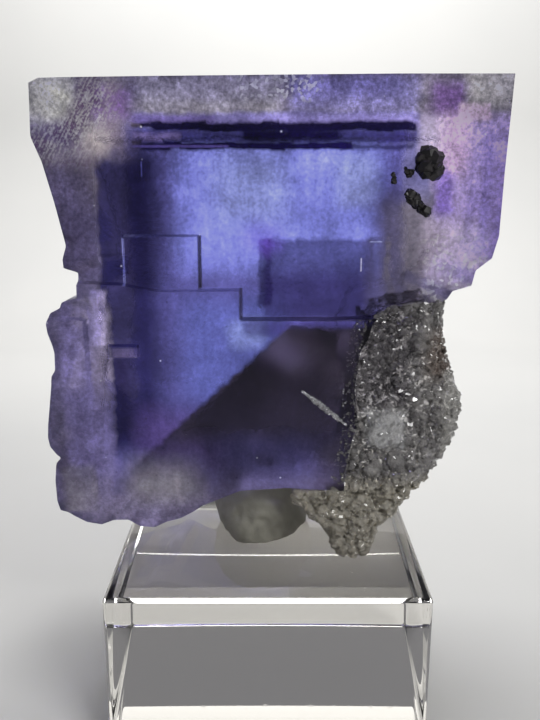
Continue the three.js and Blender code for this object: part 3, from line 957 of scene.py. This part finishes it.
# Zones of the front face: left, right, low, high, softness in millimetres, colour seen and strength
FRONT_ZONES = {
    "core": (*CORE_BOX, (88, 86, 126), 1.0),
    "blue window": (-7.6, 9.6, 44, 54.6, 3.5, (130, 136, 210), 0.95),
    "bright spot": (-4.6, 1.5, 48, 53.6, 3.5, (150, 160, 228), 0.7),
    "second spot": (6.2, 9.4, 49.5, 53.6, 2.0, (156, 166, 226), 0.6),
    "blue glow": (-7.6, 1.6, 31.5, 41, 4.0, (96, 103, 150), 0.85),
    "glow spot": (-3.4, -0.4, 36.8, 39.0, 1.6, (140, 152, 220), 0.8),
    "left band": (-30, -9.4, 26, 54.4, 3.6, (34, 28, 72), 0.95),
    "dark streak": (-13.0, -9.9, 42, 54.2, 2.2, (24, 20, 48), 0.8),
    "low streak": (-14.7, -12.6, 27.5, 36, 2.0, (24, 16, 54), 0.8),
    "low violet": (-11.6, -4.6, 23.6, 30.2, 4.0, (98, 82, 124), 0.85),
    "left rim": (-30, -15.3, 17, 61, 0.6, RIM, 1.0),
    "inner tablet": (-0.4, 9.6, 39.3, 46.6, 0.7, (50, 44, 84), 0.9),
    "inner edge": (-0.95, 0.4, 40.3, 46.4, 0.5, (34, 26, 66), 0.9),
    "magenta glow": (-2.0, 0.9, 45.6, 48.0, 2.4, (122, 96, 186), 0.4),
    "under the notch": (-2.3, 8, 37.8, 39.2, 0.8, (70, 62, 112), 0.8),
    "upper violet": (-11.9, 13.2, 56.3, 57.3, 0.5, (96, 84, 140), 0.8),
    "upper lavender": (-4.6, 13.2, 56.6, 57.5, 0.5, (124, 118, 172), 0.6),
    "stripe tip": (-12.1, -8.8, 56.0, 56.5, 0.4, (18, 10, 42), 1.0),
    "upper stripe": (-10.2, 13.0, 55.75, 56.7, 0.45, (16, 9, 40), 1.0),
    "between stripes": (-11.9, 13.0, 54.9, 55.8, 0.4, (46, 38, 88), 0.9),
    "pale gap": (-11.9, -7.6, 55.1, 55.6, 0.45, (108, 98, 128), 0.85),
    "thick stripe": (-2.6, 6.6, 54.8, 56.3, 1.2, (18, 10, 46), 1.0),
    "lower stripe": (-11.9, 7.4, 54.25, 55.0, 0.35, (18, 10, 50), 1.0),
    "stripe end": (6.4, 12.8, 54.3, 54.8, 0.4, (26, 18, 66), 0.9),
    "stripe slit": (-11.9, -3.4, 54.5, 54.66, 0.2, (84, 74, 122), 0.8),
    "right mauve": (15, 23, 43, 57, 1.6, (156, 140, 188), 0.8),
    "grey fan": (9.6, 15.2, 39.6, 50.5, 3.0, (88, 84, 94), 0.95),
    "top veil": (-11, 1, 57.5, 60.4, 1.2, (130, 127, 134), 0.8),
    "top violet": (2, 13, 57.5, 60.4, 1.2, (116, 112, 156), 0.7),
    "upper left rim": (-30, -15.3, 43, 53.6, 0.9, (84, 78, 94), 0.9),
    "left column": (-19, -14.6, 24, 40.5, 1.0, (122, 115, 140), 0.85),
    "low left block": (-19.5, -16.4, 20.4, 25.2, 0.9, (126, 122, 118), 0.7),
    "left veil": (-15.4, -12.1, 54.2, 57.4, 2.6, (104, 95, 110), 0.8),
    "cream patch": (-15.8, -14.2, 54.2, 55.8, 1.8, (180, 174, 166), 0.45),
    "right veil": (13.5, 15.6, 53.4, 57.4, 1.4, (158, 148, 172), 0.7),
    "left patch": (-15.2, -12.1, 57.0, 59.4, 1.4, (104, 76, 132), 0.9),
    "right patch": (14.2, 17.4, 57, 59.8, 1.6, (108, 80, 136), 0.85),
    "pink veil": (15.2, 17.4, 52.2, 57.0, 2.0, (178, 152, 198), 0.85),
    "pink lines": (16.6, 19.2, 56.7, 58.2, 0.6, (196, 166, 210), 0.6),
    "violet streak": (15.0, 16.5, 48.6, 52.6, 1.0, (110, 84, 172), 0.75),
    "lower veil": (14.6, 19.6, 42.5, 48, 2.6, (164, 153, 174), 0.75),
    # Painted reflections: the broken corners shine with the light from above
    "left corner": (-20.8, -17.4, 57.4, 60.4, 2.4, (255, 250, 178), 1.0),
    "right corner": (17.4, 22, 58.2, 61, 1.8, (164, 162, 158), 0.8),
    "low haze": (-17, 9, 16, 25.0, 5.0, (92, 86, 96), 0.85),
    "olive end": (-12.6, -7.0, 21.4, 25.2, 4.0, (142, 138, 124), 0.85),
    "lower rim": (-17, 7, 15, 21.4, 3.0, (108, 102, 114), 0.8),
    "right haze": (4.0, 9.5, 18, 28.5, 4.0, (80, 73, 80), 0.75),
    "lavender strip": (-15.9, -14.8, 36.9, 42, 0.5, (146, 138, 170), 0.8),
    # Painted shade along the steps' risers and edges, and a painted highlight on the tablet's far side
    "tablet side": (-6.32, -5.98, 42.1, 46.9, 0.12, (46, 42, 50), 0.95),
    "tablet far side": (-13.15, -12.9, 42.4, 46.6, 0.12, (110, 112, 160), 0.8),
    "tablet top": (-13, -6.2, 46.74, 46.94, 0.12, (64, 64, 100), 0.7),
    "notch side": (-2.62, -2.3, 39.3, 42.1, 0.12, (52, 46, 60), 0.9),
    "notch foot": (-2.5, 11.5, 39.15, 39.42, 0.14, (52, 46, 66), 0.8),
    "small block": (-14.2, -11.8, 35.75, 36.7, 0.15, (88, 80, 116), 0.35),
    # Two painted glints, as short white lines
    "upright glint": (8.43, 8.51, 43.6, 44.8, 0.1, (190, 188, 206), 0.8),
    "lying glint": (9.2, 10.3, 46.24, 46.32, 0.1, (168, 174, 216), 0.7),
    "thin scratch": (-11.17, -11.09, 52.0, 53.3, 0.1, (92, 92, 146), 0.6),
}
# Zones softer than these have blocky limits, then ragged ones
SHARP = 0.3
BLOCKY = 0.62


def zone_mask(tree, place, left, right, low, high, soft):
    """The mask of one colour zone."""
    zone = use_group(tree, ZONE, Position=place, Left=left, Right=right, Low=low, High=high, Softness=soft)
    return zone.outputs["Mask"]


def blend(tree, share, first, second):
    """Two colours mixed by a share."""
    return add_node(tree, "ShaderNodeMix", {"data_type": "RGBA"}, i0=share, i6=first, i7=second).outputs[2]


def painted(tree, colour, zones, place_for, finish):
    """Zones laid over a colour one by one: each mixes in its own finish by its mask times its strength."""
    for *limits, soft, seen, strength in zones.values():
        mask = zone_mask(tree, place_for(soft), *limits, soft)
        colour = blend(tree, times(tree, mask, strength), colour, finish(*seen))
    return colour


def zoned(tree, place, ragged, blocky):
    """The front's zones, with ruled limits as they are, stripes' limits blocky and the others ragged."""
    def place_for(soft):
        return place if soft < SHARP else blocky if soft < BLOCKY else ragged
    return painted(tree, tint(*RIM), FRONT_ZONES, place_for, tint)


print("zones on the front", len(FRONT_ZONES))

# %% [markdown]
# ## Painted shade and feathers
# Zones alone would look painted. The real face is also dark under the line where the cleavage shows
# through, where the light from behind does not pass, and that shade is painted here. Feathery streaks
# in one corner are painted bright with the light they reflect. Both are masks: the painted shade is a
# sloping zone that ends under the growth step, and the feathers are arcs about the corner, crossed by noise
# drawn out in strands.

# %% Painted shade and feathers
# The triangle of painted shade: its upper tip, the slope of its left side in degrees, and where it fades in
# height
CLEAVAGE_SHADE_TIP = (2.6, 0, 38.7)
CLEAVAGE_SHADE_SLOPE = 42.8
CLEAVAGE_SHADE_FOOT = (21.5, 29.5)
CLEAVAGE_SHADE_TOP = (39.0, 38.2)
# Colour of the painted shade in the triangle
CLEAVAGE_SHADE = (46, 41, 49)
# The corner's arcs: middle in x and z, then each arc's inner and outer radius, colour and strength
ARC_CENTRE = (-20.6, 0, 60.2)
ARCS = {"dark arc": (4.2, 6.2, (88, 68, 98), 0.8), "pale arc": (6.6, 9.0, (140, 126, 142), 0.3)}
# The feathers are real streaks, painted bright with the reflection of the light from above
FEATHER_CORNER = (-23, -13.2, 53.4, 60.4, 3.2)
FEATHER_SLOPE = 58
FEATHER_AND_REFLECTION = (204, 196, 190)
FEATHER_REFLECTION_STRENGTH = 0.55


def turned(tree, place, centre, degrees):
    """Coordinates about a centre with x along a slope and z across it."""
    inputs = {"Vector": vector(tree, "SUBTRACT", place, centre), "Angle": math.radians(degrees)}
    return add_node(tree, "ShaderNodeVectorRotate", {"rotation_type": "Y_AXIS"}, **inputs).outputs[0]


def strands(tree, place, degrees, along, across):
    """Noise drawn out along a slope, with so many lumps to a millimetre along and across it."""
    lain = turned(tree, place, (0, 0, 0), degrees)
    return noise(tree, vector(tree, "MULTIPLY", lain, (along, 1.0, across)), 1.0)


def darkened(tree, ragged, colour):
    """Painted shade: the dark triangle below the cleavage line, under the long growth step."""
    slope = turned(tree, ragged, CLEAVAGE_SHADE_TIP, CLEAVAGE_SHADE_SLOPE)
    axes = split(tree, ragged)
    shadow = zone_mask(tree, slope, -24, 30, -24, 0.45, 0.7)
    below = times(tree, spread(tree, axes["Z"], *CLEAVAGE_SHADE_FOOT), spread(tree, axes["Z"], *CLEAVAGE_SHADE_TOP))
    clear = maths(tree, "SUBTRACT", 1.0, times(tree, shadow, below))
    return blend(tree, times(tree, clear, clear), tint(*CLEAVAGE_SHADE), colour)


def arcs_and_feather_reflection(tree, place, ragged, colour):
    """The upper left corner: arcs about it, crossed by feathery streaks painted bright as a reflection."""
    corner = zone_mask(tree, ragged, *FEATHER_CORNER)
    away = add_node(tree, "ShaderNodeVectorMath", {"operation": "DISTANCE"}, i1=ARC_CENTRE,
                    i0=vector(tree, "MULTIPLY", ragged, (1, 0, 1))).outputs["Value"]
    for inner, outer, seen, strength in ARCS.values():
        rise = spread(tree, away, inner - 0.5, inner + 0.5)
        fall = spread(tree, away, outer + 0.5, outer - 0.5)
        mask = times(tree, times(tree, rise, fall), corner)
        colour = blend(tree, times(tree, mask, strength), colour, tint(*seen))
    hair = strands(tree, place, FEATHER_SLOPE, 1.0, 5.0)
    speck = noise(tree, place, 4.5, 2.0)
    spark = spread(tree, maths(tree, "MULTIPLY_ADD", speck, 0.8, hair), 0.85, 1.3)
    shown = times(tree, spread(tree, away, 1.5, 3.5), spread(tree, away, 9.4, 6.4))
    mask = times(tree, times(tree, spark, shown), corner)
    return blend(tree, times(tree, mask, FEATHER_REFLECTION_STRENGTH), colour, tint(*FEATHER_AND_REFLECTION))


print("arcs", list(ARCS), "smoke from", CLEAVAGE_SHADE_TIP)

# %% [markdown]
# ## Veils, crackle, pits and painted glints
# Cloudy veils lie all through the rim and thin out in the core. The edges have crackle with painted glints,
# dark spots of painted shade stand for small pits, and white painted glints dot the face. A picture of a
# crystal could be wrapped round it, but noise and scattered cells never run out of detail. Their limits are
# read at a wavering place, so that few look ruled.

# %% Veils, crackle, pits and painted glints
VEIL_CONTRAST = 2.0e4
LIGHTEST_MAUVE = (0.85, 0.6, 1.0)
MAUVE_SIDE = (13.5, 30, 30, 58.2, 2.0)
# Noise of the veils: lumps to a millimetre, detail and roughness
CLOUDY = (0.5, 7.0, 0.66)
BROAD = (0.22, 4.0, 0.55)
FINE = (2.8, 4.0, 0.62)
# How much each kind of noise counts in the rim and in the core, and what is taken off for balance
RIM_CLOUDY, RIM_FINE, RIM_BALANCE = 0.45, 0.4, -0.425
CORE_UPRIGHT, CORE_FINE, CORE_BROAD, CORE_BALANCE = 0.12, 0.26, 0.46, -0.42
# Zones of crackle with painted glints: left, right, low, high and softness
CRACKLE_GLINT_ZONES = {
    "top edge": (-2.6, 4.4, 58.6, 61, 1.0),
    "lower right": (14.6, 19.6, 41.0, 46.6, 2.4),
}
CRACKLE_GLINT_SLOPE = 24
# Colour and strength of the glints painted on the crackle
CRACKLE_GLINT = (196, 193, 204)
CRACKLE_GLINT_STRENGTH = 0.55
# Dark spots, the painted shade of small pits and fine dark grains: how many to a millimetre, size, share
# kept, strength and colour
PIT_SHADE_AND_DARK_GRAINS = [(1.3, 0.2, 0.12, 0.85, (40, 36, 46)), (3.1, 0.3, 0.1, 0.5, (60, 56, 84))]
# White specks: painted glints
WHITE_GLINTS = {"Scale": 0.9, "Size": 0.1, "Share": 0.1}


def between(tree, share, first, second):
    """Two numbers mixed by a share."""
    return add_node(tree, "ShaderNodeMix", i0=share, i2=first, i3=second).outputs[0]


def veiled(tree, place, ragged, colour):
    """The colour times clouds, grain and growth blocks: strong in the rim, weak and upright in the core.

    On the right the lightest places stay mauve.
    """
    core = zone_mask(tree, ragged, *CORE_BOX)
    cloudy, broad, fine = [noise(tree, place, *kind) for kind in (CLOUDY, BROAD, FINE)]
    upright = strands(tree, place, 0, 1.8, 0.25)
    large = use_group(tree, MOSAIC, Position=ragged, Scale=0.45).outputs["Shade"]
    small = use_group(tree, MOSAIC, Position=ragged, Scale=1.5).outputs["Shade"]
    blocks = maths(tree, "MULTIPLY_ADD", small, 0.5, large)
    rim = maths(tree, "MULTIPLY_ADD", fine, RIM_FINE, RIM_BALANCE)
    rim = maths(tree, "MULTIPLY_ADD", cloudy, RIM_CLOUDY, rim)
    inner = maths(tree, "MULTIPLY_ADD", fine, CORE_FINE, CORE_BALANCE)
    inner = maths(tree, "MULTIPLY_ADD", upright, CORE_UPRIGHT, inner)
    inner = maths(tree, "MULTIPLY_ADD", broad, CORE_BROAD, inner)
    veil = between(tree, core, rim, inner)
    top = spread(tree, split(tree, place)["Z"], 44, 57, 0.7, 1.25)
    veil = times(tree, veil, top)
    patch = times(tree, maths(tree, "SUBTRACT", blocks, 0.75), between(tree, core, 0.07, 0.03))
    shade = maths(tree, "POWER", VEIL_CONTRAST, maths(tree, "ADD", veil, patch))
    colour = add_node(tree, "ShaderNodeHueSaturation", Value=shade, Color=colour).outputs[0]
    right = zone_mask(tree, ragged, *MAUVE_SIDE)
    colour = blend(tree, right, colour, vector(tree, "MINIMUM", colour, LIGHTEST_MAUVE))
    return colour, blocks, fine


def crackle_glints(tree, place, ragged, colour):
    """Painted glints on small crackle facets, the growth blocks of the lightest shades, in the zones of
    crackle.
    """
    lain = turned(tree, place, (0, 0, 0), CRACKLE_GLINT_SLOPE)
    glint_facet = spread(tree, use_group(tree, MOSAIC, Position=lain, Scale=3.6).outputs["Shade"], 0.66, 0.95)
    for limits in CRACKLE_GLINT_ZONES.values():
        mask = times(tree, zone_mask(tree, ragged, *limits), glint_facet)
        colour = blend(tree, times(tree, mask, CRACKLE_GLINT_STRENGTH), colour, tint(*CRACKLE_GLINT))
    return colour


def flecked(tree, place, colour):
    """Painted shade of small pits as dark spots, fine dark grains, and a few white painted glints."""
    for scale, size, share, strength, seen in PIT_SHADE_AND_DARK_GRAINS:
        spots = use_group(tree, FLECKS, Position=place, Scale=scale, Size=size, Share=share)
        colour = blend(tree, times(tree, spots.outputs["Mask"], strength), colour, tint(*seen))
    # Painted glints as white specks
    white_glints = use_group(tree, FLECKS, Position=place, **WHITE_GLINTS)
    return blend(tree, white_glints.outputs["Mask"], colour, (1, 1, 1, 1))


def front_colour(tree, place):
    """Tint of the front face, with the growth blocks and the grain that its relief shares."""
    waver = add_node(tree, "ShaderNodeTexNoise", Vector=place, Scale=0.9, Detail=5.0).outputs["Color"]
    waver = vector(tree, "SUBTRACT", waver, (0.5, 0.5, 0.5))
    ragged = vector(tree, "MULTIPLY_ADD", waver, (0.9, 0, 0.7), place)
    step = use_group(tree, MOSAIC, Position=ragged, Scale=0.55).outputs["Shade"]
    shift = add_node(tree, "ShaderNodeCombineXYZ", Z=spread(tree, step, 0, 1, -0.12, 0.12)).outputs[0]
    blocky = vector(tree, "ADD", vector(tree, "MULTIPLY_ADD", waver, (0.8, 0, 0.4), place), shift)
    colour = darkened(tree, ragged, zoned(tree, place, ragged, blocky))
    colour, blocks, fine = veiled(tree, place, ragged, colour)
    colour = crackle_glints(tree, place, ragged, arcs_and_feather_reflection(tree, place, ragged, colour))
    return flecked(tree, place, colour), blocks, fine


print("crackle", list(CRACKLE_GLINT_ZONES), "kinds of pits", len(PIT_SHADE_AND_DARK_GRAINS))

# %% [markdown]
# ## The fluorite finish
# The other faces have only a pale rim and a violet core. Each of their points is slid along its normal
# to the middle of the crystal and takes the colour that lies there. The finish is clear crystal with
# fluorite's low index of refraction, hazier in the rim and below, with a very low relief.

# %% The fluorite finish
CORE_MIDDLE = (0.0, 4.0, 40.0)
# Limits of the core under the other faces, across and in depth
CORE_ACROSS = (-15.2, 14.6, 22, 57.3, 1.2)
CORE_DEPTH = (-5, 13, 22, 57.3, 1.2)
# Depths between which the front's colour takes over from that of the sides
FRONT_DEPTHS = (-6.2, -6.6)
SIDE_RIM = linear(230, 227, 232)
SIDE_CORE = linear(140, 138, 204)
# Roughness over the rim, the core and the lower part, and the heights over which the last takes over
HAZE_RIM, HAZE_CORE, HAZE_LOW = 0.36, 0.07, 0.55
HAZE_HEIGHTS = (31, 26)


def new_material(name):
    """A material with its tree and Principled BSDF."""
    material = bpy.data.materials.new(name)
    material.use_nodes = True
    return material, material.node_tree, material.node_tree.nodes["Principled BSDF"]


def millimetres(tree):
    """Object coordinates in millimetres."""
    return scaled(tree, add_node(tree, "ShaderNodeTexCoord").outputs["Object"], 1 / MM)


def side_mask(tree, place):
    """How far a side or back point lies over the core: its place slid along the normal to the middle."""
    normal = add_node(tree, "ShaderNodeNewGeometry").outputs["True Normal"]
    away = vector(tree, "SUBTRACT", place, CORE_MIDDLE)
    rise = add_node(tree, "ShaderNodeVectorMath", {"operation": "DOT_PRODUCT"}, i0=away, i1=normal)
    flat = vector(tree, "SUBTRACT", place, scaled(tree, normal, rise.outputs["Value"]))
    axes = split(tree, flat)
    sideways = add_node(tree, "ShaderNodeCombineXYZ", X=axes["Y"], Z=axes["Z"]).outputs[0]
    return times(tree, zone_mask(tree, flat, *CORE_ACROSS), zone_mask(tree, sideways, *CORE_DEPTH))


def fluorite_material():
    """Zoned clear crystal, with a hazy rim and low growth relief."""
    material, tree, shader = new_material("fluorite")
    place = millimetres(tree)
    axes = split(tree, place)
    fore = spread(tree, axes["Y"], *FRONT_DEPTHS)
    front, blocks, fine = front_colour(tree, place)
    inner = side_mask(tree, place)
    sides = blend(tree, inner, SIDE_RIM, SIDE_CORE)
    colour = blend(tree, fore, sides, front)
    grain = use_group(tree, GRAIN, Position=place, Scale=0.35, Fine=0.4)
    haze = between(tree, inner, HAZE_RIM, HAZE_CORE)
    haze = between(tree, spread(tree, axes["Z"], *HAZE_HEIGHTS), haze, HAZE_LOW)
    haze = times(tree, haze, maths(tree, "ADD", grain.outputs["Coarse"], 0.5))
    height = maths(tree, "MULTIPLY_ADD", fine, 0.5, grain.outputs["Height"])
    height = maths(tree, "MULTIPLY_ADD", blocks, 0.4, height)
    bump = add_node(tree, "ShaderNodeBump", Strength=0.16, Distance=0.0002, Height=height)
    fill(tree, shader, Base_Color=colour, Roughness=haze, Normal=bump.outputs[0], IOR=1.434)
    fill(tree, shader, Specular_Tint=(0.5, 0.5, 0.6, 1), Transmission_Weight=0.95)
    return material


crystal.data.materials.append(fluorite_material())
print("nodes in the fluorite", len(crystal.data.materials[0].node_tree.nodes))

# %% [markdown]
# ## Quartz
# Small quartz crystals are clear, but in a crust each one shows the jumble behind it, so the whole looks
# frosty, smoky in places and creamy at the foot. A few colour zones give that, and tilted facets break
# the shine of faces that are too small to model.

# %% Quartz
# Zones of the crust: left, right, low, high, softness in millimetres, colour and strength
QUARTZ_ZONES = {
    "smoky side": (0, 13.4, 30.5, 40.4, 3.0, (112, 106, 118), 0.6),
    "creamy foot": (0, 30, 10, 23.4, 2.5, (250, 244, 228), 0.95),
    "large grain": (9.2, 13.0, 26.8, 30.6, 0.8, (255, 255, 255), 1.0),
    "rusty patch": (14.8, 17.6, 33.5, 38, 2.0, (158, 132, 110), 0.6),
    "pale edge": (16.6, 22, 25.5, 34, 1.0, (230, 228, 222), 0.8),
    "scratch": (2.6, 7.4, 28.9, 33, 0.4, (252, 252, 255), 1.0),
}


def quartz_material():
    """Glassy small crystals: smoky above, creamy at the foot, with a rusty patch and a broken lustre."""
    material, tree, shader = new_material("quartz")
    place = millimetres(tree)
    grain = use_group(tree, GRAIN, Position=place, Scale=0.5, Fine=0.5)
    share = spread(tree, grain.outputs["Height"], 0.5, 1.0)
    colour = blend(tree, share, linear(152, 148, 150), linear(234, 231, 228))
    colour = painted(tree, colour, QUARTZ_ZONES, lambda soft: place, linear)
    rough = spread(tree, grain.outputs["Coarse"], 0.4, 0.7, 0.02, 0.09)
    normal = add_node(tree, "ShaderNodeNewGeometry").outputs["Normal"]
    facets = use_group(tree, FACETS, Position=place, Normal=normal, Scale=2.8, Tilt=1.3)
    fill(tree, shader, Base_Color=colour, Roughness=rough, Normal=facets.outputs["Normal"])
    fill(tree, shader, IOR=1.544, Transmission_Weight=0.74)
    return material


crust.data.materials.append(quartz_material())
print("zones of the quartz", list(QUARTZ_ZONES))

# %% [markdown]
# ## Ore and tack
# The ore is dull black with a lustre on some faces, and the tack a waxy putty with a fine skin. Neither
# lets light through, so one colour broken up by fine grain is enough for each.

# %% Ore and tack
def ore_material():
    """Dull black ore with a brown bloom and a broken lustre."""
    material, tree, shader = new_material("dark ore")
    place = millimetres(tree)
    grain = use_group(tree, GRAIN, Position=place, Scale=1.6, Fine=0.6)
    share = spread(tree, grain.outputs["Height"], 0.7, 1.0)
    colour = blend(tree, share, linear(12, 11, 15), linear(44, 40, 42))
    rough = spread(tree, grain.outputs["Coarse"], 0.0, 1.0, 0.2, 0.6)
    fill(tree, shader, Base_Color=colour, Roughness=rough)
    return material


def tack_material():
    """Waxy putty, lighter and darker by coarse grain, with a fine skin."""
    material, tree, shader = new_material("mineral tack")
    place = millimetres(tree)
    grain = use_group(tree, GRAIN, Position=place, Scale=0.5, Fine=0.3)
    colour = blend(tree, grain.outputs["Coarse"], linear(126, 124, 113), linear(172, 170, 158))
    rough = spread(tree, grain.outputs["Height"], 0.0, 1.0, 0.45, 0.7)
    bump = add_node(tree, "ShaderNodeBump", Strength=0.35, Distance=0.0003, Height=grain.outputs["Height"])
    fill(tree, shader, Base_Color=colour, Roughness=rough, Normal=bump.outputs[0])
    return material


ORE = ore_material()
for grain in ore_pieces:
    grain.data.materials.append(ORE)
tack.data.materials.append(tack_material())
print("ore on", len(ore_pieces), "grains, tack on", tack.name)

# %% [markdown]
# ## Acrylic and floor
# The block is polished acrylic with fine scratches, which are grain drawn out along a slope. The floor is
# plain pale paper, so that nothing on it shows through the clear pieces.

# %% Acrylic and floor
def acrylic_material():
    """Polished clear acrylic with fine scratches and a faint warm tint."""
    material, tree, shader = new_material("acrylic")
    streak = turned(tree, millimetres(tree), (0, 0, 0), 28)
    streak = vector(tree, "MULTIPLY", streak, (0.3, 0.5, 3.0))
    scratch = use_group(tree, GRAIN, Position=streak, Scale=1.2, Fine=0.5)
    rough = spread(tree, scratch.outputs["Coarse"], 0.58, 0.75, 0.01, 0.08)
    colour = blend(tree, scratch.outputs["Coarse"], linear(240, 237, 231), linear(246, 244, 240))
    fill(tree, shader, Base_Color=colour, Roughness=rough, IOR=1.49, Transmission_Weight=1.0)
    return material


def floor_material():
    """Pale paper with a faint mottle."""
    material, tree, shader = new_material("pale floor")
    mottle = use_group(tree, GRAIN, Position=millimetres(tree), Scale=0.02, Fine=0.2)
    colour = blend(tree, mottle.outputs["Coarse"], linear(190, 190, 188), linear(202, 201, 198))
    fill(tree, shader, Base_Color=colour, Roughness=0.85)
    return material


block.data.materials.append(acrylic_material())
floor.data.materials.append(floor_material())
print("materials", [material.name for material in bpy.data.materials])
